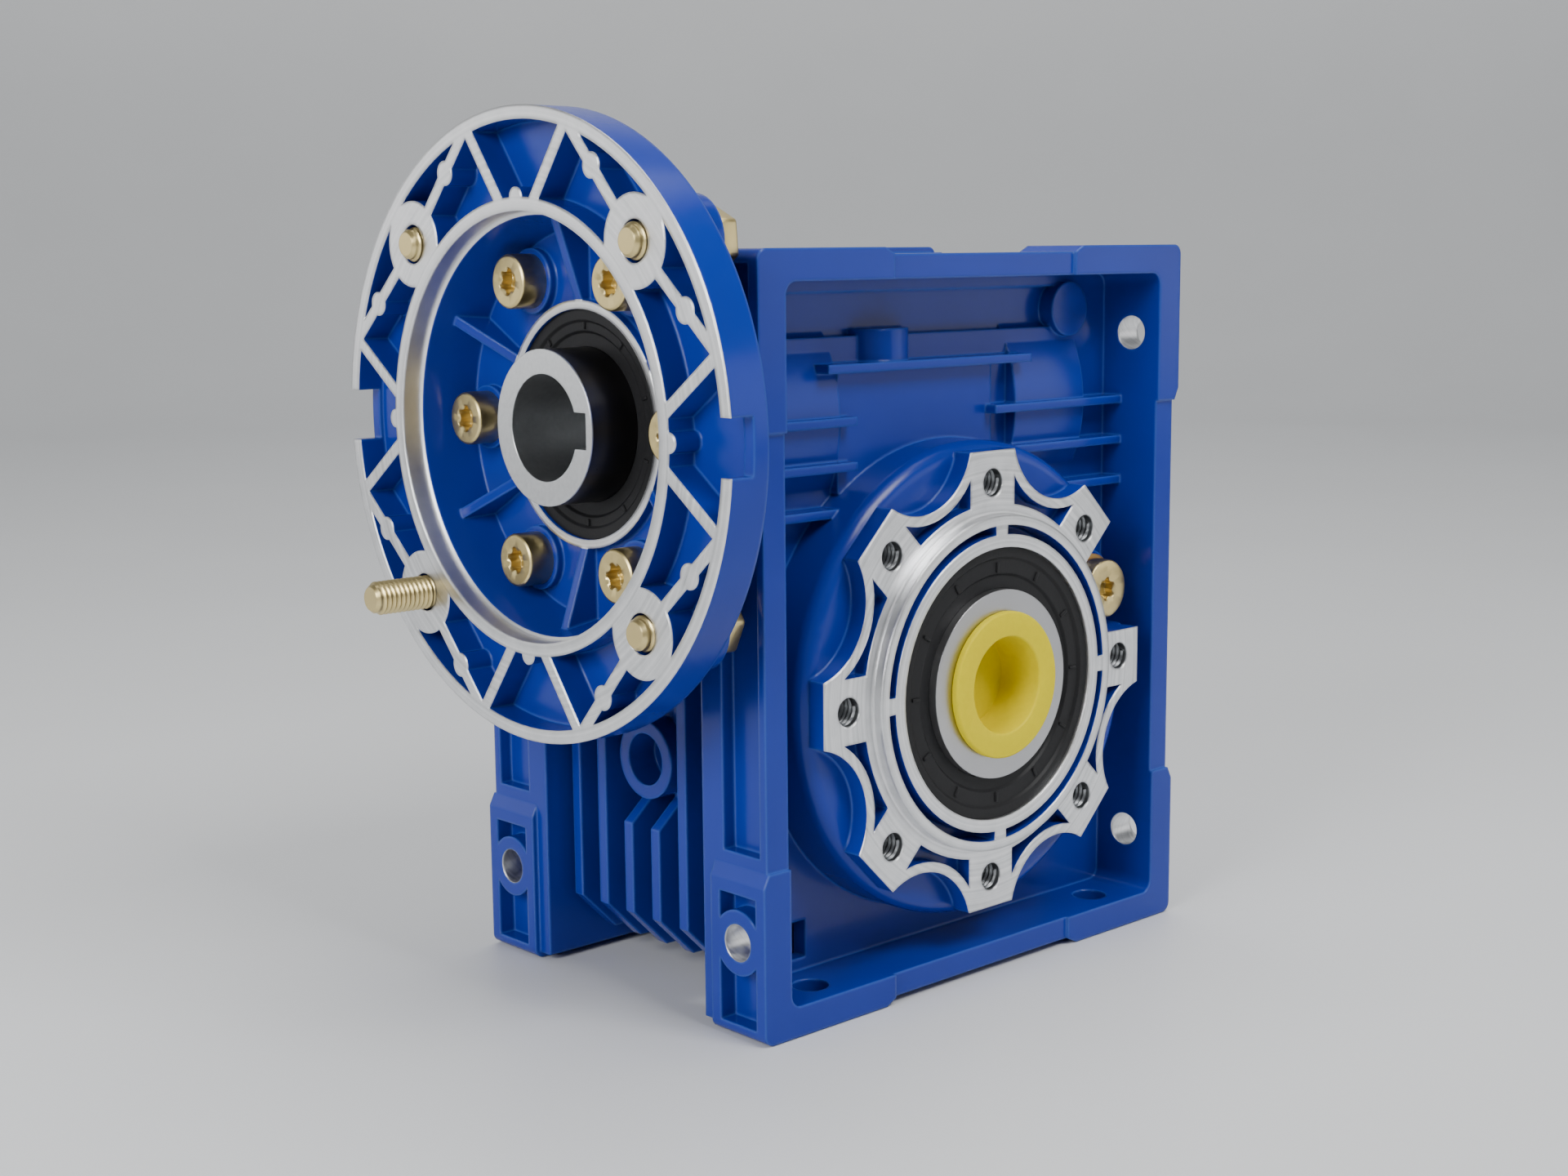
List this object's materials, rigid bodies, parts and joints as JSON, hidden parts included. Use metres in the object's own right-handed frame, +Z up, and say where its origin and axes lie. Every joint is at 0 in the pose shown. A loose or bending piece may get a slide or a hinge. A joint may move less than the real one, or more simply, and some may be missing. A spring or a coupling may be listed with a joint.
{
  "type": "worm gear reducer",
  "caption": "Right-angle worm gear reducer with a ribbed cast housing, a webbed round motor flange, a keyed hollow input and a hollow output shaft closed by a plastic plug.",
  "frame": {"origin": "On the output shaft's axis, midway between the two output faces.", "axes": "+Y runs along the output axis toward the cover side, +Z is up and crosses the worm axis 63 mm above the origin, and the motor flange faces -X."},
  "size_m": [0.183, 0.14, 0.205],
  "materials": {
    "blue_paint": "semi-gloss enamel over cast aluminium, machined faces bare",
    "gold_zinc": "pale gold zinc-passivated steel",
    "bearing_steel": "ground bearing steel",
    "seal_rubber": "matt nitrile rubber",
    "shaft_steel": "satin turned steel",
    "bronze": "machined bronze",
    "dark_steel": "dark oxide steel with ground ends",
    "yellow_plastic": "satin moulded plastic"
  },
  "bodies": {
    "case": {"housing": "blue_paint", "output_cover": "blue_paint", "output_cover_screws": "gold_zinc", "output_cover_o_ring": "seal_rubber", "front_bearing_outer_ring": "bearing_steel", "front_bearing_balls": "bearing_steel", "rear_bearing_outer_ring": "bearing_steel", "rear_bearing_balls": "bearing_steel", "worm_input_bearing_outer_ring": "bearing_steel", "worm_input_bearing_balls": "bearing_steel", "worm_tail_bearing_outer_ring": "bearing_steel", "worm_tail_bearing_balls": "bearing_steel", "front_output_seal": "seal_rubber", "rear_output_seal": "seal_rubber", "input_seal": "seal_rubber", "worm_end_cap": "seal_rubber", "input_flange": "blue_paint", "input_flange_screws": "gold_zinc", "motor_bolts": "gold_zinc", "motor_bolt_washers": "gold_zinc", "oil_plug": "gold_zinc", "oil_plug_washer": "bronze"},
    "output": {"output_shaft": "shaft_steel", "worm_wheel_rim": "bronze", "front_bearing_inner_ring": "bearing_steel", "rear_bearing_inner_ring": "bearing_steel"},
    "worm": {"worm_shaft": "dark_steel", "worm_input_bearing_inner_ring": "bearing_steel", "worm_tail_bearing_inner_ring": "bearing_steel", "worm_retaining_ring": "dark_steel"},
    "plug": {"shaft_plug": "yellow_plastic"}
  },
  "joints": [
    {"name": "output_spin", "type": "hinge", "parent": "case", "child": "output", "pos_m": [0, 0, 0], "axis": [0, 1, 0], "continuous": true},
    {"name": "worm_spin", "type": "hinge", "parent": "case", "child": "worm", "pos_m": [0, 0, 0.063], "axis": [1, 0, 0], "continuous": true},
    {"name": "plug_pull", "type": "slide", "parent": "output", "child": "plug", "axis": [0, -1, 0], "range_m": [0, 0.02]}
  ],
  "couplings": [
    {"joint": "worm_spin", "follows": "output_spin", "ratio": -30}
  ]
}
